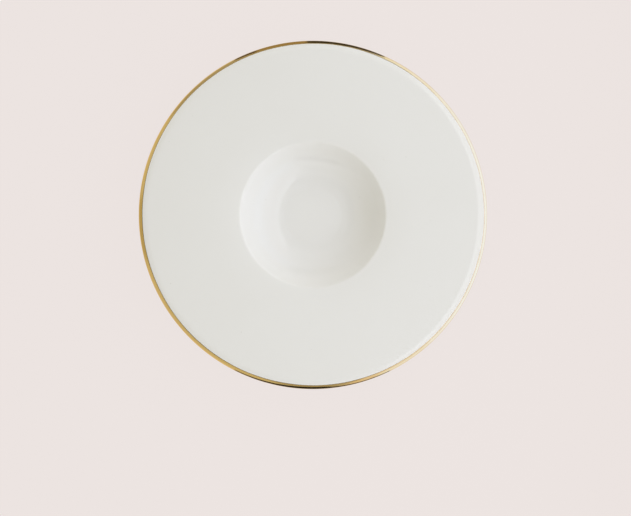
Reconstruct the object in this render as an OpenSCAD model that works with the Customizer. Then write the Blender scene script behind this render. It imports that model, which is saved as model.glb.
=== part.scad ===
// Rimmed soup plate in glazed porcelain with a gilded lip.
// Everything is turned round the Z axis. The foot stands on z = 0, and the origin is the centre of the foot.
// Lengths are in millimetres and slopes in degrees.

/* [Plate] */
// Diameter over the gilded lip
plate_d = 280; // [250:1:310]
// Thickness of the porcelain in the well and its floor
wall_t = 4.4; // [3.6:0.1:5.4]

/* [Well] */
// Diameter of the well at the top of its wall
well_d = 116; // [101:1:131]
// Depth of the well, from the top of its wall to its floor
well_depth = 22.5; // [19.5:0.5:27]
// Slope of the straight part of the wall
wall_slope = 54; // [50:0.5:58]
// Radius of the turn from the flat floor to the sloping ring round it
floor_turn_r = 12; // [6:1:20]
// Slope of the ring round the floor
ring_slope = 7; // [5:0.5:9]
// Width of the ring round the floor
ring_w = 3.4; // [2:0.2:5]
// Radius of the cove that bends up from the ring to the wall
cove_r = 37; // [32:0.5:41]
// Radius of the turn from the wall to the rim
well_edge_r = 2.8; // [1.5:0.1:4]
// Radius of the hollow turn between the well and the rim, seen from below
under_fillet_r = 9; // [5:0.5:12]

/* [Rim] */
// Width of the curved shoulder that leads down to the well
shoulder_w = 22; // [14:1:30]
// Slope of the shoulder where it meets the well
shoulder_slope = 9; // [7:0.5:13]
// Slope of the straight part of the rim
rim_slope = 3.5; // [1.5:0.25:5.5]
// Slope of the underside of the rim
under_slope = 4.2; // [3:0.1:5.5]

/* [Lip] */
// Radius of the long roll down to the lip
roll_r = 16; // [13:0.5:20]
// Slope of the roll where it meets the lip, falling outwards
roll_slope = 22; // [17:0.5:27]
// Radius of the rounded lip
lip_r = 1.2; // [0.9:0.05:1.7]

/* [Foot ring] */
// Diameter of the outer side of the foot at the table
foot_d = 76; // [66:1:88]
// Thickness of the foot ring at the table
foot_t = 3.6; // [2.6:0.1:5]
// Lean of the foot's two sides, which makes the ring thicker upwards
foot_lean = 8; // [4:0.5:14]
// Radius of the foot's lower edges
foot_edge_r = 0.8; // [0.4:0.1:1.2]
// Radius of the hollow turns at the foot's two roots
foot_root_r = 2; // [1.2:0.1:3]
// Height of the underside of the floor above the table
recess_h = 4; // [3:0.1:5.2]

/* [Glaze and gold] */
// Thickness of the glaze
glaze_t = 0.3; // [0.2:0.05:0.5]
// Height of the wiped, bare edge of the foot
bare_h = 1.2; // [1:0.1:1.6]
// Thickness of the gold band
gold_t = 0.1; // [0.08:0.01:0.2]
// Width of the gold band, seen from above
band_w = 2.9; // [2:0.1:5]

/* [Hidden] */

// Longest turn and longest run of an arc between two points, and the facets of the preview
arc_turn = 4;
arc_run = 4;
$fn = 180;

// Radii of the unglazed porcelain
body_lip = plate_d / 2 - gold_t - glaze_t;
well_r = well_d / 2;
foot_out = foot_d / 2;
foot_in = foot_out - foot_t;

function dir(angle) = [cos(angle), sin(angle)];

// Points of an arc whose outward normal turns from angle a to b, each as [radius, height, normal angle].
// Angles count from the outward radius: 90 faces up, -90 down, and -180 the axis.
// A bulging arc has its centre inside the porcelain, and a hollow one outside.
function arc(centre, r, a, b, bulge = true) =
    let (turn = abs(b - a), run = turn * r * PI / 180)
    let (steps = max(1, ceil(turn / arc_turn), ceil(run / arc_run)), side = bulge ? r : -r)
    [for (i = [0:steps])
        let (angle = a + (b - a) * i / steps, p = centre + side * dir(angle))
        [p.x, p.y, angle]];

// Where a line through point p along direction u meets a line through q along v
function crossing(p, u, q, v) = p + u * cross(q - p, v) / cross(u, v);

// Distance along direction u from point p to the nearer side of a circle
function reach(p, u, centre, r) =
    let (q = p - centre, along = q * u)
    -along - sqrt(along * along - q * q + r * r);

// Well, worked inwards from the top: the straight wall, the cove, the ring and the flat floor.
// The wall takes the depth that the others leave, and the floor the width.
floor_z = recess_h + wall_t;
wall_top = [well_r, floor_z + well_depth];
cove_size = cove_r * (dir(wall_slope - 90) - dir(ring_slope - 90));
turn_size = floor_turn_r * (dir(ring_slope - 90) - dir(-90));
ring_size = ring_w * [1, tan(ring_slope)];
wall_h = well_depth - cove_size.y - turn_size.y - ring_size.y;
cove_c = wall_top - wall_h * [1 / tan(wall_slope), 1] - cove_r * dir(wall_slope - 90);
cove = arc(cove_c, cove_r, 90 + ring_slope, 90 + wall_slope, false);
floor_r = cove_c.x + cove_r * sin(ring_slope) - ring_size.x - turn_size.x;
floor_turn = arc([floor_r, floor_z + floor_turn_r], floor_turn_r, 90, 90 + ring_slope, false);

// Edge of the well and the shoulder outside it
edge_c = wall_top - well_edge_r * dir(90 + wall_slope);
edge = arc(edge_c, well_edge_r, 90 + wall_slope, 90 + shoulder_slope);
shoulder_r = shoulder_w / (sin(shoulder_slope) - sin(rim_slope));
shoulder_c = edge_c + (well_edge_r - shoulder_r) * dir(90 + shoulder_slope);
shoulder = arc(shoulder_c, shoulder_r, 90 + shoulder_slope, 90 + rim_slope);
rim_start = shoulder_c + shoulder_r * dir(90 + rim_slope);

// Lip: a long roll, then a small round. The rim's straight part sets their height.
// The roll is in two runs, which meet at the inner edge of the gold.
lip_c_x = body_lip - lip_r;
roll_end = (lip_r - roll_r) * dir(90 - roll_slope);
roll_top = roll_end + roll_r * dir(90 + rim_slope);
lip_c_z = rim_start.y + (lip_c_x + roll_top.x - rim_start.x) * tan(rim_slope) - roll_top.y;
lip_c = [lip_c_x, lip_c_z];
roll_c = lip_c + roll_end;
band_angle = acos((plate_d / 2 - band_w - roll_c.x) / (roll_r + glaze_t));
white_roll = arc(roll_c, roll_r, 90 + rim_slope, band_angle);
gilded_roll = arc(roll_c, roll_r, band_angle, 90 - roll_slope);
lip = arc(lip_c, lip_r, 90 - roll_slope, under_slope - 90);

// Underside of the rim, and the hollow turn to the outside of the well
under_start = lip_c + lip_r * dir(under_slope - 90);
outer_wall = wall_top - wall_t * dir(90 + wall_slope);
corner = crossing(under_start, dir(under_slope), outer_wall, dir(wall_slope));
under_c = corner
    + under_fillet_r * tan((wall_slope - under_slope) / 2) * dir(under_slope)
    + under_fillet_r * dir(under_slope - 90);
under_fillet = arc(under_c, under_fillet_r, under_slope - 90, wall_slope - 90, false);

// Foot ring. Its outer root blends into the outside of the cove, its inner root into the recess's ceiling.
outer_cove_r = cove_r + wall_t;
root_reach = outer_cove_r + foot_root_r;
out_side = -foot_lean;
out_base = [foot_out, 0] + foot_root_r * dir(out_side);
out_up = dir(90 - foot_lean);
out_root_c = out_base + reach(out_base, out_up, cove_c, root_reach) * out_up;
out_root_angle = asin((out_root_c.x - cove_c.x) / root_reach) - 90;
in_side = foot_lean - 180;
in_base = [foot_in, 0] + foot_root_r * dir(in_side);
in_up = dir(90 + foot_lean);
in_root_c = in_base + (recess_h - foot_root_r - in_base.y) / in_up.y * in_up;
edge_in = foot_edge_r / cos(foot_lean) - foot_edge_r * tan(foot_lean);
outer_cove = arc(cove_c, outer_cove_r, wall_slope - 90, out_root_angle);
out_root = arc(out_root_c, foot_root_r, out_root_angle, out_side, false);
out_edge = arc([foot_out - edge_in, foot_edge_r], foot_edge_r, out_side, -90);
in_edge = arc([foot_in + edge_in, foot_edge_r], foot_edge_r, -90, in_side);
in_root = arc(in_root_c, foot_root_r, in_side, -90, false);

// The porcelain's surface as three runs: what the outer glaze covers, the bare foot, and the glazed recess
out_stop = [foot_out + bare_h * tan(foot_lean), bare_h, out_side];
in_stop = [foot_in - bare_h * tan(foot_lean), bare_h, in_side];
coated = concat(
    [[0, floor_z, 90]], floor_turn, cove, edge, shoulder, white_roll, gilded_roll, lip,
    under_fillet, outer_cove, out_root, [out_stop]);
bare = concat(out_edge, in_edge);
recessed = concat([in_stop], in_root, [[0, recess_h, -90]]);

// Gold: the end of the roll and the whole lip
gilded = concat(gilded_roll, lip);

// A run of the surface, moved outwards by some thickness
function raised(run, t) = [for (p = run) [p[0], p[1]] + t * dir(p[2])];
function reversed(list) = [for (i = [len(list) - 1:-1:0]) list[i]];

// A coat of one thickness over a run of the surface, lying on whatever is under it
module coat(run, under, t)
    rotate_extrude() polygon(concat(raised(run, under), reversed(raised(run, under + t))));

module porcelain_body()
    color("ghostwhite") rotate_extrude() polygon(raised(concat(coated, bare, recessed), 0));

module glaze_coat() color("whitesmoke") coat(coated, 0, glaze_t);

module foot_recess_glaze() color("whitesmoke") coat(recessed, 0, glaze_t);

module gold_band() color("goldenrod") coat(gilded, glaze_t, gold_t);

porcelain_body();
glaze_coat();
foot_recess_glaze();
gold_band();
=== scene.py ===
import math

import bpy
import numpy as np
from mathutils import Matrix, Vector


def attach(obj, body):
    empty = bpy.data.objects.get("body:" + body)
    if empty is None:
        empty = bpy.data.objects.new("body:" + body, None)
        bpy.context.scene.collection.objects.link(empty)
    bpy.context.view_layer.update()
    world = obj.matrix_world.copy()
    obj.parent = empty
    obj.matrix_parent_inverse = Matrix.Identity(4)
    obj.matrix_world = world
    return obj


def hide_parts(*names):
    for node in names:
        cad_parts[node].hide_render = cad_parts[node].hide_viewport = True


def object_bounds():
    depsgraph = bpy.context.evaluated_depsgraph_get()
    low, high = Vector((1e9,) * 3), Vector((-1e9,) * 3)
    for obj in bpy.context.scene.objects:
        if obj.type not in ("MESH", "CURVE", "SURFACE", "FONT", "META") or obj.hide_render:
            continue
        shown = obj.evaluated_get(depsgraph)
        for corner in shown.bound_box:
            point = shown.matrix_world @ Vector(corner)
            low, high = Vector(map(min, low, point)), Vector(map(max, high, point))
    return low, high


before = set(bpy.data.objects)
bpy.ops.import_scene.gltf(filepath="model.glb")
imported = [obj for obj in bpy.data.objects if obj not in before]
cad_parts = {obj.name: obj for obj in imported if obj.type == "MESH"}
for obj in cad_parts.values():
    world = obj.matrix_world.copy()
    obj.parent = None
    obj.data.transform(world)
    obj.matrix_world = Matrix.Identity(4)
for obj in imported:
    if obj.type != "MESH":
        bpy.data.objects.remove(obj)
cad_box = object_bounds()

# Porcelain body. One piece of hard white porcelain, pressed on a turning mould and fired, with the well,
# the wide rim and the foot ring in one. Glaze hides all of it but the edge of the foot, where the maker
# wipes the glaze off so that the plate doesn't stick to the kiln's shelf.
mm = 0.001
plate_r = min(abs(corner[axis]) for corner in cad_box for axis in (0, 1))
gold_t = 0.05 * mm
glaze_t = 0.28 * mm
wall_t = 4.4 * mm
well_r = 58 * mm
well_depth = 22.5 * mm
wall_slope = 54
floor_turn_r = 12 * mm
floor_ring_slope = 7
floor_ring_w = 3.4 * mm
cove_r = 37 * mm
well_edge_r = 2.8 * mm
under_fillet_r = 9 * mm
shoulder_w = 22 * mm
shoulder_slope = 9
rim_slope = 3.5
under_slope = 4.2
roll_r = 16 * mm
roll_slope = 22
lip_r = 1.2 * mm
foot_out = 38 * mm
foot_in = 34.4 * mm
foot_lean = 8
foot_edge_r = 0.8 * mm
foot_root_r = 2 * mm
recess_h = 4 * mm
bare_h = 1.2 * mm
arc_turn = 4
arc_run = 1.4 * mm
straight_run = 3 * mm


def direction(angle):
    """A unit step in the plane of radius and height, at an angle in degrees from the outward radius."""
    return np.array([math.cos(math.radians(angle)), math.sin(math.radians(angle))])


def arc(centre, radius, start, end, hollow=False):
    """Points of an arc as rows of radius, height and the angle of the outward normal, which turns evenly.

    A bulging arc has its centre inside the porcelain, so a point is centre + radius * normal.
    A hollow arc has it outside, so a point is centre - radius * normal."""
    run = abs(math.radians(end - start)) * radius
    count = max(2, math.ceil(abs(end - start) / arc_turn), math.ceil(run / arc_run))
    angles = np.linspace(start, end, count + 1)
    normals = np.stack([np.cos(np.radians(angles)), np.sin(np.radians(angles))], 1)
    return np.column_stack([centre + (-radius if hollow else radius) * normals, angles])


def straight(start, end, angle):
    """Evenly spaced points between two places, which are left out, all with the same normal angle."""
    count = math.ceil(math.dist(start, end) / straight_run)
    share = np.linspace(0, 1, count + 1)[1:-1, None]
    points = start + share * (np.asarray(end) - start)
    return np.column_stack([points, np.full(len(points), float(angle))])


def crossing(start, along, other_start, other_along):
    """Where a line through one place meets a line through another."""
    return start + along * np.cross(other_start - start, other_along) / np.cross(along, other_along)


def reach(start, along, centre, radius):
    """How far along a unit step from a place the nearer side of a circle lies."""
    offset = start - centre
    return -(offset @ along) - math.sqrt((offset @ along) ** 2 - offset @ offset + radius**2)


def joined(*runs):
    """Runs end to end, with a straight stretch wherever one doesn't start where the last one ends."""
    rows = [np.asarray(runs[0], float)]
    for run in runs[1:]:
        last, run = rows[-1][-1], np.asarray(run, float)
        if math.dist(last[:2], run[0, :2]) < 1e-7:
            run = run[1:]
        else:
            rows.append(straight(last[:2], run[0, :2], last[2]))
        rows.append(run)
    return np.concatenate(rows)


# The face, from the flat floor outwards. The wall takes the depth that the stretches below it leave.
floor_z = recess_h + wall_t
steep = math.radians(wall_slope)
gentle = math.radians(floor_ring_slope)
floor_turn_w = floor_turn_r * math.sin(gentle)
ring_rise = floor_turn_r * (1 - math.cos(gentle)) + floor_ring_w * math.tan(gentle)
cove_w = cove_r * (math.sin(steep) - math.sin(gentle))
cove_rise = cove_r * (math.cos(gentle) - math.cos(steep))
wall_w = (well_depth - ring_rise - cove_rise) / math.tan(steep)
floor_r = well_r - wall_w - cove_w - floor_ring_w - floor_turn_w
floor_turn_c = np.array([floor_r, floor_z + floor_turn_r])
floor_turn = arc(floor_turn_c, floor_turn_r, 90, 90 + floor_ring_slope, hollow=True)
ring_end = np.array([floor_r + floor_turn_w + floor_ring_w, floor_z + ring_rise])
cove_c = ring_end + cove_r * direction(90 + floor_ring_slope)
cove = arc(cove_c, cove_r, 90 + floor_ring_slope, 90 + wall_slope, hollow=True)
wall_top = np.array([well_r, floor_z + well_depth])
edge_c = wall_top - well_edge_r * direction(90 + wall_slope)
edge = arc(edge_c, well_edge_r, 90 + wall_slope, 90 + shoulder_slope)
shoulder_r = shoulder_w / (math.sin(math.radians(shoulder_slope)) - math.sin(math.radians(rim_slope)))
shoulder_c = edge_c + (well_edge_r - shoulder_r) * direction(90 + shoulder_slope)
shoulder = arc(shoulder_c, shoulder_r, 90 + shoulder_slope, 90 + rim_slope)

# The roll and the lip, at the height that the straight part of the rim brings them to
lip_c_r = plate_r - gold_t - glaze_t - lip_r
roll_end = (lip_r - roll_r) * direction(90 - roll_slope)
roll_top = roll_end + roll_r * direction(90 + rim_slope)
rim_start = shoulder_c + shoulder_r * direction(90 + rim_slope)
rim_run = lip_c_r + roll_top[0] - rim_start[0]
lip_c = np.array([lip_c_r, rim_start[1] + rim_run * math.tan(math.radians(rim_slope)) - roll_top[1]])
roll_c = lip_c + roll_end
roll = arc(roll_c, roll_r, 90 + rim_slope, 90 - roll_slope)
lip = arc(lip_c, lip_r, 90 - roll_slope, under_slope - 90)

# The underside of the rim, and the hollow turn from it to the outside of the well
under_start = lip_c + lip_r * direction(under_slope - 90)
outer_wall = wall_top - wall_t * direction(90 + wall_slope)
corner = crossing(under_start, direction(under_slope), outer_wall, direction(wall_slope))
corner_cut = under_fillet_r * math.tan(math.radians(wall_slope - under_slope) / 2)
under_c = corner + corner_cut * direction(under_slope) + under_fillet_r * direction(under_slope - 90)
under_fillet = arc(under_c, under_fillet_r, under_slope - 90, wall_slope - 90, hollow=True)

# The outside of the cove and the foot ring, whose two sides lean towards each other as they go down
outer_cove_r = cove_r + wall_t
root_reach = outer_cove_r + foot_root_r
out_side = -foot_lean
in_side = foot_lean - 180
out_up = direction(90 - foot_lean)
in_up = direction(90 + foot_lean)
out_base = np.array([foot_out, 0]) + foot_root_r * direction(out_side)
in_base = np.array([foot_in, 0]) + foot_root_r * direction(in_side)
out_root_c = out_base + reach(out_base, out_up, cove_c, root_reach) * out_up
in_root_c = in_base + (recess_h - foot_root_r - in_base[1]) / in_up[1] * in_up
out_root_angle = math.degrees(math.asin((out_root_c[0] - cove_c[0]) / root_reach)) - 90
edge_in = foot_edge_r * (1 / math.cos(math.radians(foot_lean)) - math.tan(math.radians(foot_lean)))
outer_cove = arc(cove_c, outer_cove_r, wall_slope - 90, out_root_angle)
out_root = arc(out_root_c, foot_root_r, out_root_angle, out_side, hollow=True)
out_edge = arc(np.array([foot_out - edge_in, foot_edge_r]), foot_edge_r, out_side, -90)
in_edge = arc(np.array([foot_in + edge_in, foot_edge_r]), foot_edge_r, -90, in_side)
in_root = arc(in_root_c, foot_root_r, in_side, -90, hollow=True)
out_stop = np.array([foot_out + bare_h * math.tan(math.radians(foot_lean)), bare_h])
in_stop = np.array([foot_in - bare_h * math.tan(math.radians(foot_lean)), bare_h])


def points_at(run, thickness):
    """A run of the surface moved outwards along its normals: point + thickness * normal.

    The thickness is one number, one for each point, or one for each point and each angle round the plate,
    and the run may have its own points for each angle too."""
    thickness = np.asarray(thickness, float)
    if thickness.ndim == 1:
        thickness = thickness[:, None]
    run = run[:, None] if run.ndim == 2 else run
    normals = np.radians(run[..., 2:])
    return run[..., :2] + thickness[..., None] * np.concatenate([np.cos(normals), np.sin(normals)], 2)


around = 224
angles = np.arange(around) * 2 * np.pi / around


def turned(name, outline):
    """A closed surface carried round the plate's axis. The outline holds radius and height by point and by
    angle: a point at angle a lies at (radius * cos a, radius * sin a, height).

    An outline that starts and ends on the axis closes there with one vertex and a fan at each end.
    Any other outline is a loop, and makes a ring."""
    outline = np.broadcast_to(outline, (len(outline), around, 2))
    radii, heights = outline[..., 0], outline[..., 1]
    grid = np.stack([radii * np.cos(angles), radii * np.sin(angles), heights], 2)
    here = np.arange(around)
    after = np.roll(here, -1)
    if np.all(radii[0] < 1e-9):
        middle = grid[1:-1]
        points = np.concatenate([grid[0, :1], middle.reshape(-1, 3), grid[-1, :1]])
        first = 1 + np.arange(len(middle))[:, None] * around
        inner, outer = first[:-1], first[1:]
        last = len(points) - 1
        top = np.stack([np.zeros(around, int), 1 + here, 1 + after], 1)
        bottom = np.stack([np.full(around, last), last - around + after, last - around + here], 1)
        fans = np.concatenate([top, bottom])
    else:
        points = grid.reshape(-1, 3)
        inner = np.arange(len(grid))[:, None] * around
        outer = np.roll(inner, -1, 0)
        fans = np.zeros((0, 3), int)
    quads = np.stack([inner + here, outer + here, outer + after, inner + after], 2).reshape(-1, 4)
    mesh = bpy.data.meshes.new(name)
    mesh.from_pydata(points.tolist(), [], quads.tolist() + fans.tolist())
    mesh.polygons.foreach_set("use_smooth", np.ones(len(mesh.polygons), bool))
    mesh.set_sharp_from_angle(angle=math.radians(40))
    piece = bpy.data.objects.new(name, mesh)
    bpy.context.scene.collection.objects.link(piece)
    return piece


class Wire:
    """A shader socket that can be added, subtracted, multiplied and so on. Each step adds a Math node."""

    def __init__(self, finish, socket):
        self.finish = finish
        self.socket = socket

    def maths(self, operation, *values, clamp=False):
        settings = {"operation": operation, "use_clamp": clamp}
        return self.finish.node("ShaderNodeMath", settings, dict(enumerate(values)))

    def __add__(self, other):
        return self.maths("ADD", self, other)

    def __sub__(self, other):
        return self.maths("SUBTRACT", self, other)

    def __rsub__(self, other):
        return self.maths("SUBTRACT", other, self)

    def __mul__(self, other):
        return self.maths("MULTIPLY", self, other)

    def __truediv__(self, other):
        return self.maths("DIVIDE", self, other)

    def __pow__(self, other):
        return self.maths("POWER", self, other)

    __radd__ = __add__
    __rmul__ = __mul__

    def clamped(self):
        return self.maths("ADD", self, 0, clamp=True)

    def sine(self):
        return self.maths("SINE", self)


class Finish:
    """A new material, or the world, and the ways of adding nodes to it."""

    def __init__(self, name, owner=None):
        self.owner = owner or bpy.data.materials.new(name)
        self.owner.use_nodes = True
        self.nodes = self.owner.node_tree.nodes
        self.links = self.owner.node_tree.links
        self.shader = self.nodes.get("Principled BSDF")

    def set(self, socket, value):
        if isinstance(value, Wire):
            self.links.new(value.socket, socket)
        else:
            socket.default_value = value

    def node(self, kind, settings=None, sockets=None, output=0):
        """Adds a node of a kind, with its settings first and then the values or links of its sockets."""
        node = self.nodes.new(kind)
        for name, value in (settings or {}).items():
            setattr(node, name, value)
        for name, value in (sockets or {}).items():
            self.set(node.inputs[name], value)
        return Wire(self, node.outputs[output])

    def surface(self, **sockets):
        """Sets the Principled shader's sockets, with an underscore for each space in a socket's name."""
        for name, value in sockets.items():
            self.set(self.shader.inputs[name.replace("_", " ")], value)

    def place(self):
        """The point on the object, in metres, as a vector, and its three parts."""
        vector = self.node("ShaderNodeTexCoord", output="Object")
        parts = [self.node("ShaderNodeSeparateXYZ", sockets={0: vector}, output=i) for i in range(3)]
        return vector, *parts

    def noise(self, vector, size, detail=2.0):
        """Cloudy noise from 0 to 1 with spots of about a given size in metres."""
        settings = {"noise_dimensions": "3D"}
        sockets = {"Vector": vector, "Scale": 1 / size, "Detail": detail}
        return self.node("ShaderNodeTexNoise", settings, sockets)

    def tint(self, share, colour, other):
        """A colour that runs from one to another as the share runs from 0 to 1."""
        node = self.nodes.new("ShaderNodeMix")
        node.data_type = "RGBA"
        by_name = {socket.identifier: socket for socket in node.inputs}
        self.set(by_name["Factor_Float"], share)
        self.set(by_name["A_Color"], colour)
        self.set(by_name["B_Color"], other)
        return Wire(self, next(s for s in node.outputs if s.identifier == "Result_Color"))

    def bump(self, height):
        """A normal bent by a height in metres."""
        return self.node("ShaderNodeBump", sockets={"Height": height, "Distance": 1.0, "Strength": 1.0})


bare_clay = Finish("bare_porcelain")
at, x, y, z = bare_clay.place()
grain = bare_clay.noise(at, 0.35 * mm, 4)
cloud = bare_clay.noise(at, 9 * mm, 3)
from_axis = (x * x + y * y) ** 0.5
sponge_lines = (from_axis * (2 * math.pi / (0.45 * mm))).sine()
worn = ((1 - z / (0.25 * mm)) * cloud * 1.4).clamped()
clay = bare_clay.tint(cloud, (0.80, 0.765, 0.70, 1), (0.72, 0.685, 0.62, 1))
clay = bare_clay.tint((grain * 0.5).clamped(), clay, (0.84, 0.82, 0.77, 1))
bare_clay.surface(
    Base_Color=bare_clay.tint(worn * 0.35, clay, (0.47, 0.45, 0.42, 1)),
    Roughness=(0.93 - worn * 0.25 - cloud * 0.1),
    Normal=bare_clay.bump(grain * (0.03 * mm) + sponge_lines * (0.004 * mm)),
)

front = joined([[0, floor_z, 90]], floor_turn, cove, edge, shoulder, roll, lip)
outer_face = joined(front, under_fillet, outer_cove, out_root)
foot_edge = joined([[*out_stop, out_side]], out_edge, in_edge, [[*in_stop, in_side]])
inner_face = joined(in_root, [[0, recess_h, -90]])
body = turned("porcelain", points_at(joined(outer_face, foot_edge, inner_face), 0))
body.data.materials.append(bare_clay.owner)
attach(body, "root")
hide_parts("porcelain_body")

# Glaze. The plate is dipped in a clear glaze that melts to a thin skin of glass over the white clay. It
# lies a little unevenly, pulls back in a soft bead where it was wiped off the foot, and holds a few
# specks of ash. The wiped edge parts the skin inside the foot ring from the rest.
glaze_white = (0.905, 0.893, 0.872, 1)
glaze_shade = (0.888, 0.872, 0.848, 1)
speck_brown = (0.30, 0.24, 0.17, 1)
bead_round = 0.3 * mm
bead_up = 0.8 * mm
bead_spread = 0.4 * mm
bead_swell = 0.4
bead_gap = 0.1 * mm
wander_up = 0.9 * mm

# Distances up the foot's two sides from where the glaze stops, closer together towards it
bead_out = np.array([4, 3.2, 2.5, 1.9, 1.5, 1.2, 0.95, 0.75, 0.57, 0.42, 0.3, 0.2, 0.12, 0.06, 0.02, 0]) * mm
bead_in = bead_out[bead_out < math.dist(in_stop, in_root[0, :2]) - bead_gap]


def wiped(stop, up, normal_angle, distances, phase):
    """The glaze's last stretch down the foot's side, with its thickness, for each angle round the plate.

    A point lies a distance s up the side from where the glaze stops, which itself wanders by a sum of
    sines. The thickness is that of the coat, swollen by a bell curve round s = bead_up, and a quarter
    circle closes it at s = 0."""
    wander = 0.2 + 0.1 * np.sin(3 * angles + phase) + 0.06 * np.sin(8 * angles + 2 * phase)
    wander = (wander + 0.03 * np.sin(21 * angles + 3 * phase)) * mm
    s = distances[:, None]
    share = np.clip(1 - s / wander_up, 0, 1)
    rise = s + wander * share
    points = stop + rise[..., None] * up
    swell = 1 + bead_swell * np.exp(-(((s - bead_up) / bead_spread) ** 2))
    end = np.sqrt(1 - (1 - np.clip(s / bead_round, 0, 1)) ** 2)
    run = np.concatenate([points, np.full((*rise.shape, 1), float(normal_angle))], 2)
    return run, np.broadcast_to(glaze_t * swell * end, rise.shape)


def skin(face, stretch, thickness, towards_end):
    """A closed skin over a face and the wiped stretch at its end or its start, outside and back inside."""
    face = np.broadcast_to(face[:, None], (len(face), len(angles), 3))
    cover = np.full(face.shape[:2], glaze_t)
    parts = [face, stretch] if towards_end else [stretch, face]
    covers = [cover, thickness] if towards_end else [thickness, cover]
    run, cover = np.concatenate(parts), np.concatenate(covers)
    front, back = points_at(run, cover), points_at(run, 0)[::-1]
    return np.concatenate([front, back[1:]] if towards_end else [back, front[1:]])


def glazed(name, turning_lines=0.0):
    """The glaze as a finish: glassy white with faint clouds, ripples and specks.

    Turning lines are fine rings, as deep as the given height, that the mould leaves under the glaze."""
    finish = Finish(name)
    at, x, y, _ = finish.place()
    cloud = finish.noise(at, 45 * mm, 3)
    ripple = finish.noise(at, 16 * mm, 1)
    peel = finish.noise(at, 2.2 * mm, 2)
    flat = finish.node("ShaderNodeCombineXYZ", sockets={0: x, 1: y})
    cells = {"voronoi_dimensions": "2D"}
    to_cell = {"Vector": flat, "Scale": 1 / (19 * mm)}
    speck_far = finish.node("ShaderNodeTexVoronoi", cells, to_cell, output="Distance")
    speck_pick = finish.node("ShaderNodeTexVoronoi", cells, to_cell, output="Color")
    picked = finish.node("ShaderNodeSeparateColor", sockets={0: speck_pick})
    speck_size = 0.012 * (picked - 0.72) / 0.28
    speck = ((speck_size - speck_far) * 400).clamped()
    white = finish.tint(cloud, glaze_white, glaze_shade)
    height = ripple * (0.02 * mm) + peel * (0.0006 * mm) - speck * (0.01 * mm)
    if turning_lines:
        from_axis = (x * x + y * y) ** 0.5
        rings = (from_axis * (2 * math.pi / (1.7 * mm)) + cloud * 3).sine()
        height = height + rings * turning_lines
    finish.surface(
        Base_Color=finish.tint(speck * 0.8, white, speck_brown),
        Roughness=0.035 + cloud * 0.02 + peel * 0.015 + speck * 0.3,
        Normal=finish.bump(height),
        IOR=1.52,
    )
    return finish.owner


out_stretch = wiped(out_stop, out_up, out_side, bead_out, 0.7)
in_stretch = wiped(in_stop, in_up, in_side, bead_in[::-1], 2.9)
coat = turned("glaze", skin(outer_face, *out_stretch, towards_end=True))
coat.data.materials.append(glazed("glaze"))
recess_coat = turned("recess_glaze", skin(inner_face, *in_stretch, towards_end=False))
recess_coat.data.materials.append(glazed("recess_glaze", turning_lines=0.004 * mm))
for piece, node in ((coat, "glaze_coat"), (recess_coat, "foot_recess_glaze")):
    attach(piece, "root")
    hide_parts(node)

# Gold. Liquid gold, painted round the lip with a broad brush while the plate turns, and fired again. The
# hand that held the brush strayed, so the band is wider on one side, and its inner edge wavers.
band_w = 2.9 * mm
stray = 0.39 * mm
stray_towards = math.radians(53)
band_thin_w = 0.3 * mm
band_rows = 12
waver = 0.05 * np.sin(5 * angles + 0.6) + 0.035 * np.sin(13 * angles + 2.1) + 0.02 * np.sin(31 * angles)
inner_edge = plate_r - band_w + stray * np.cos(angles - stray_towards) + waver * mm
first_angle = np.degrees(np.arccos((inner_edge - roll_c[0]) / (roll_r + glaze_t)))
share = np.linspace(0, 1, band_rows)[:, None] ** 1.5
roll_angles = first_angle + (90 - roll_slope - first_angle) * share
from_edge = np.radians(first_angle - roll_angles) * roll_r
roll_normals = np.radians(roll_angles)
roll_points = roll_c + roll_r * np.stack([np.cos(roll_normals), np.sin(roll_normals)], 2)
painted_roll = np.concatenate([roll_points, roll_angles[..., None]], 2)
painted_lip = np.broadcast_to(lip[1:, None], (len(lip) - 1, len(angles), 3))
painted = np.concatenate([painted_roll, painted_lip])
roll_cover = gold_t * np.clip(from_edge / band_thin_w, 0, 1) ** 0.5
lip_cover = np.full(painted_lip.shape[:2], gold_t)
cover = np.concatenate([roll_cover, lip_cover])
ring = np.concatenate([points_at(painted, glaze_t + cover), points_at(painted, glaze_t)[:0:-1]])

gold = Finish("fired_gold")
at, x, y, z = gold.place()
from_axis = (x * x + y * y) ** 0.5
stroke_place = gold.node("ShaderNodeCombineXYZ", sockets={0: x, 1: y, 2: from_axis * 55 - z * 35})
strokes = gold.noise(stroke_place, 14 * mm, 4)
patches = gold.noise(at, 11 * mm, 2)
pits = gold.noise(at, 0.5 * mm, 2)
tone = (strokes * 1.6 - 0.3).clamped()
# Painted highlight: the gold's colour runs to a pale cream on the plate's right side, where the window
# shines on it, and the patches break up where it starts.
painted_sheen = (x * 9 + patches * 0.5 - 0.45).clamped()
stroked_gold = gold.tint(tone, (0.86, 0.63, 0.27, 1), (0.77, 0.52, 0.18, 1))
gold.surface(
    Base_Color=gold.tint(painted_sheen, stroked_gold, (0.93, 0.85, 0.68, 1)),
    Metallic=1.0,
    Roughness=0.05 + strokes * 0.06 + patches * 0.05,
    Normal=gold.bump(strokes * (0.012 * mm) + patches * (0.02 * mm) + pits * (0.0015 * mm)),
)
band = turned("gold_line", ring)
band.data.materials.append(gold.owner)
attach(band, "root")
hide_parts("gold_band")

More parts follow.
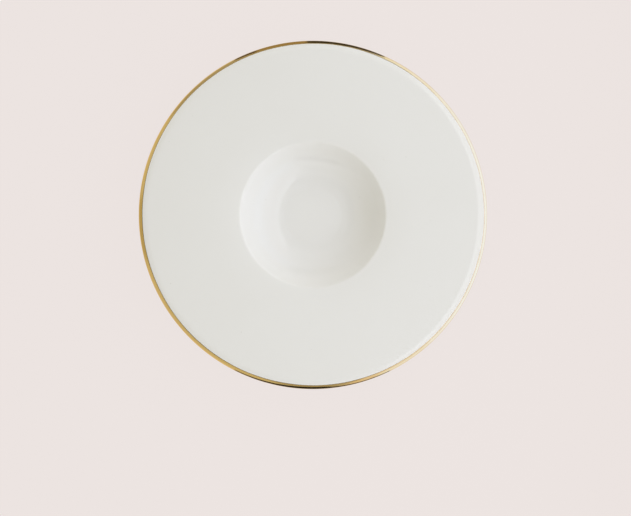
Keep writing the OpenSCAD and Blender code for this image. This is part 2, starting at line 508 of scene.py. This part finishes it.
# Camera. It looks straight down on the plate. The plate's outline in the frame, in pixels from the
# frame's upper left corner, gives its place and its lens.
image_w, image_h = 631, 516
outline_px = 174.2
centre_px = (312.9, 214.9)
metres_per_px = plate_r / outline_px
camera_h = 1.6
camera = bpy.data.cameras.new("camera")
camera.sensor_width = 36
camera.lens = camera.sensor_width * camera_h / (image_w * metres_per_px)
camera_object = bpy.data.objects.new("camera", camera)
bpy.context.scene.collection.objects.link(camera_object)
camera_object.location = (
    (image_w / 2 - centre_px[0]) * metres_per_px,
    -(image_h / 2 - centre_px[1]) * metres_per_px,
    lip_c[1] + camera_h,
)
bpy.context.scene.camera = camera_object

# Table and room. A pale warm sheet under the plate, and even, slightly warm light from all round it.
backdrop = (0.848, 0.783, 0.762, 1)
room_colour = (1, 0.975, 0.855, 1)
room_strength = 0.605
sheet_glow_share = 0.95
sheet_drop = 0.2 * mm


def lit_backdrop(finish, plain, glow, output, share):
    """Lays a flat glow of the backdrop's colour over a surface for camera, glossy and transmission rays."""
    ray = finish.node("ShaderNodeLightPath", output="Is Camera Ray")
    for kind in ("Is Glossy Ray", "Is Transmission Ray"):
        ray = ray + finish.node("ShaderNodeLightPath", output=kind)
    sockets = {0: ray.clamped() * share, 1: plain, 2: glow}
    finish.set(output, finish.node("ShaderNodeMixShader", sockets=sockets))


world = bpy.data.worlds.new("room")
bpy.context.scene.world = world
room = Finish("room", world)
room_light = room.node("ShaderNodeBackground", sockets={"Color": room_colour, "Strength": room_strength})
room_glow = room.node("ShaderNodeBackground", sockets={"Color": backdrop})
lit_backdrop(room, room_light, room_glow, room.nodes["World Output"].inputs["Surface"], 1)

sheet_half = 6
corners = [(-sheet_half, -sheet_half, 0), (sheet_half, -sheet_half, 0)]
corners += [(sheet_half, sheet_half, 0), (-sheet_half, sheet_half, 0)]
sheet_mesh = bpy.data.meshes.new("table")
sheet_mesh.from_pydata(corners, [], [(0, 1, 2, 3)])
sheet = bpy.data.objects.new("table", sheet_mesh)
bpy.context.scene.collection.objects.link(sheet)
sheet.location.z = -sheet_drop
paper = Finish("paper")
plain = paper.node("ShaderNodeBsdfDiffuse", sockets={"Color": backdrop})
glow = paper.node("ShaderNodeEmission", sockets={"Color": backdrop})
lit_backdrop(paper, plain, glow, paper.nodes["Material Output"].inputs["Surface"], sheet_glow_share)
sheet_mesh.materials.append(paper.owner)

# Lights. A tall soft panel stands close on the right, and two low fills stand far off, beyond the plate's
# far and near sides. What the glaze and the gold mirror is set apart from them, by cards that only
# reflections see.
panel_x = 0.3
panel_ends = (-0.7, 0.5)
panel_parts = ((0.18, 0.45, 1.29), (0.45, 1.2, 0.555))
panel_colour = (0.93, 1.005, 1.22)
fill_parts = ((1, 0.37), (-1, 0.2))
fill_away = 3
fill_size = (6.0, 1.9)
fill_middle = 1.15


def soft_light(name, size, place, turn, radiance, colour=(1, 1, 1)):
    """A flat light that the camera and the reflections don't see. Its power is radiance * pi * area."""
    light = bpy.data.lights.new(name, "AREA")
    light.shape = "RECTANGLE"
    light.size, light.size_y = size
    light.energy = radiance * math.pi * light.size * light.size_y
    light.color = colour
    lamp = bpy.data.objects.new(name, light)
    bpy.context.scene.collection.objects.link(lamp)
    lamp.location = place
    lamp.rotation_euler = turn
    lamp.visible_camera = lamp.visible_glossy = False


for low, high, radiance in panel_parts:
    size = (high - low, panel_ends[1] - panel_ends[0])
    place = (panel_x, sum(panel_ends) / 2, (low + high) / 2)
    soft_light("panel", size, place, (0, math.pi / 2, 0), radiance, panel_colour)
for side, radiance in fill_parts:
    place = (0, fill_away * side, fill_middle)
    soft_light("fill", fill_size, place, (-math.pi / 2 * side, 0, 0), radiance)


def card(name, corners, colour):
    """A flat card that shows an even colour in reflections and nothing else."""
    finish = Finish(name)
    glow = finish.node("ShaderNodeEmission", sockets={"Color": (*colour, 1)})
    finish.set(finish.nodes["Material Output"].inputs["Surface"], glow)
    mesh = bpy.data.meshes.new(name)
    mesh.from_pydata(corners, [], [tuple(range(len(corners)))])
    mesh.materials.append(finish.owner)
    piece = bpy.data.objects.new(name, mesh)
    bpy.context.scene.collection.objects.link(piece)
    piece.visible_camera = piece.visible_diffuse = piece.visible_transmission = piece.visible_shadow = False


def upright(start, end, low, high):
    """The corners of an upright rectangle over a line on the table."""
    return [(*start, low), (*end, low), (*end, high), (*start, high)]


def level(outline, height):
    """The corners of a flat outline at one height over the table."""
    return [(x, y, height) for x, y in outline]


# The window, bent round the plate's right side
window_low, window_high = 0.03, 0.225
window_half_turn = 68
window_turns = np.radians(np.linspace(-window_half_turn, window_half_turn, 11))
window_foot = [(panel_x * math.cos(turn), panel_x * math.sin(turn)) for turn in window_turns]
for start, end in zip(window_foot, window_foot[1:]):
    card("window", upright(start, end, window_low, window_high), (0.95, 1.02, 1.12))

# Walls, with a darker door in the left one
left_x, near_y, far_y = -1.3, -1.25, 1.25
near_end_x, far_end_x = 0.4, 0.55
room_wall_top = 0.92
door_x, door_near_y, door_far_y, door_top = -1.2, -0.35, 0.28, 0.85
card("left_wall", upright((left_x, near_y), (left_x, far_y), 0, room_wall_top), (0.8, 0.77, 0.7))
card("left_door", upright((door_x, door_near_y), (door_x, door_far_y), 0, door_top), (0.62, 0.59, 0.45))
card("near_wall", upright((left_x, near_y), (near_end_x, near_y), 0, room_wall_top), (0.95, 0.92, 0.86))
card("far_wall", upright((left_x, far_y), (far_end_x, far_y), 0, room_wall_top), (0.67, 0.66, 0.62))

# Dark flags close to the near and far sides of the lip. The near one has a crooked top.
near_flag_y, far_flag_y = -0.2, 0.2
near_flag = [(-0.102, 0), (0.1, 0), (0.1, 0.06), (0.025, 0.094), (0.015, 0.108), (-0.03, 0.108)]
near_flag += [(-0.102, 0.096)]
far_flags = (
    (-0.007, 0.089, 0.109, (0.05, 0.045, 0.04)),
    (-0.069, -0.007, 0.113, (0.36, 0.3, 0.2)),
    (-0.1, -0.069, 0.113, (0.12, 0.1, 0.1)),
)
card("near_flag", [(x, near_flag_y, z) for x, z in near_flag], (0.02, 0.018, 0.015))
for start, end, top, colour in far_flags:
    card("far_flag", upright((start, far_flag_y), (end, far_flag_y), 0, top), colour)

# The ceiling in patches, each a little over the last, and a bright strip under its right edge. That edge
# is what draws the curved line in the well.
dark_ceiling = [(-0.4, -0.45), (0.203, -0.45), (0.207, 0), (0.252, 0.259)]
dark_ceiling += [(-0.4, 0.259), (-0.57, 0.2), (-0.57, -0.25)]
beam = [(left_x, -0.24), (-0.45, -0.2), (-0.45, 0.11), (left_x, 0.14)]
pale_ceiling = [(left_x, near_y), (-0.1, near_y), (-0.22, -0.6), (-0.5, -0.5), (-0.5, 0.45), (left_x, 0.85)]
grey_ceiling = [(left_x, near_y), (0.2, near_y), (0.207, 0), (0.255, 0.265)]
grey_ceiling += [(0.42, 0.7), (0.568, far_y), (left_x, far_y)]
strip = [(0.1545, -0.342), (0.155, 0), (0.1906, 0.196), (0.26, 0.37)]
strip += [(0.36, 0.37), (0.31, 0.2), (0.3, 0), (0.3, -0.342)]
dark_z, beam_z, pale_z, grey_z, strip_z = 0.9, 0.905, 0.91, 0.92, 0.7
card("dark_ceiling", level(dark_ceiling, dark_z), (0.04, 0.04, 0.04))
card("beam", level(beam, beam_z), (0.53, 0.5, 0.38))
card("pale_ceiling", level(pale_ceiling, pale_z), (0.68, 0.67, 0.6))
card("grey_ceiling", level(grey_ceiling, grey_z), (0.46, 0.455, 0.44))
card("strip", level(strip, strip_z), (1.35, 1.37, 1.42))

bpy.context.scene.view_settings.view_transform = "Standard"
